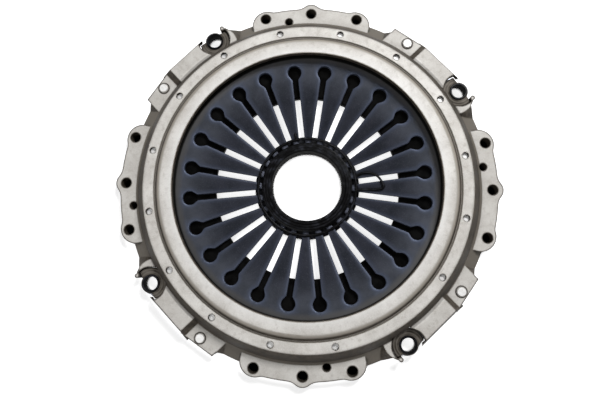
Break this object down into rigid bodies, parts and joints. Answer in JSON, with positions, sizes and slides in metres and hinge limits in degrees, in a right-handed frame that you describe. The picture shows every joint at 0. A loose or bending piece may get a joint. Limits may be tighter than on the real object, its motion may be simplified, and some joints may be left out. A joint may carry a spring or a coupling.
{
  "type": "clutch pressure plate",
  "caption": "Pull-type truck clutch cover: cast housing, pressure plate on leaf-spring straps, slotted diaphragm spring and a release hub with a wire locking ring.",
  "frame": {"origin": "centre of the flywheel face, on the clutch axis", "axes": "+Z along the clutch axis from the flywheel to the gearbox, +Y through the middle bolt of the flange pad that is uppermost in the picture"},
  "size_m": [0.502, 0.502, 0.0439],
  "materials": {
    "cast_housing": "shot-blasted casting, warm light grey, fine grain",
    "plate_iron": "grey iron, turned faces",
    "spring_steel": "heat-treated and oiled, blue-charcoal sheen",
    "wire_steel": "drawn wire",
    "pin_steel": "bright ground steel",
    "rivet_steel": "bright plated steel",
    "strap_steel": "blued spring strip",
    "tube_black": "black phosphate, oiled",
    "hub_black": "black phosphate, turned steps",
    "hub_wire": "black drawn wire"
  },
  "bodies": {
    "housing": {"housing": "cast_housing", "pivot_ring": "wire_steel", "diaphragm_spring": "spring_steel", "centring_pins": "pin_steel", "strap_rivets": "rivet_steel", "strap_washers": "rivet_steel", "strap_1_leaf_1": "strap_steel", "strap_1_leaf_2": "strap_steel", "strap_1_leaf_3": "strap_steel", "strap_2_leaf_1": "strap_steel", "strap_2_leaf_2": "strap_steel", "strap_2_leaf_3": "strap_steel", "strap_3_leaf_1": "strap_steel", "strap_3_leaf_2": "strap_steel", "strap_3_leaf_3": "strap_steel", "strap_4_leaf_1": "strap_steel", "strap_4_leaf_2": "strap_steel", "strap_4_leaf_3": "strap_steel"},
    "pressure_plate": {"pressure_plate": "plate_iron", "tube_rivet_1": "tube_black", "tube_rivet_2": "tube_black", "tube_rivet_3": "tube_black", "tube_rivet_4": "tube_black"},
    "release_hub": {"thrust_collar": "hub_black", "cup_spring": "hub_black", "retainer_collar": "hub_black", "locking_ring": "hub_wire"}
  },
  "joints": [
    {"name": "plate_lift", "type": "slide", "parent": "housing", "child": "pressure_plate", "axis": [0, 0, 1], "range_m": [0, 0.0075], "deforming": ["strap_1_leaf_1", "strap_1_leaf_2", "strap_1_leaf_3", "strap_2_leaf_1", "strap_2_leaf_2", "strap_2_leaf_3", "strap_3_leaf_1", "strap_3_leaf_2", "strap_3_leaf_3", "strap_4_leaf_1", "strap_4_leaf_2", "strap_4_leaf_3"]},
    {"name": "hub_pull", "type": "slide", "parent": "housing", "child": "release_hub", "axis": [0, 0, 1], "range_m": [0, 0.0348], "deforming": ["diaphragm_spring"]}
  ],
  "couplings": [
    {"joint": "hub_pull", "follows": "plate_lift", "ratio": 4.6379}
  ]
}
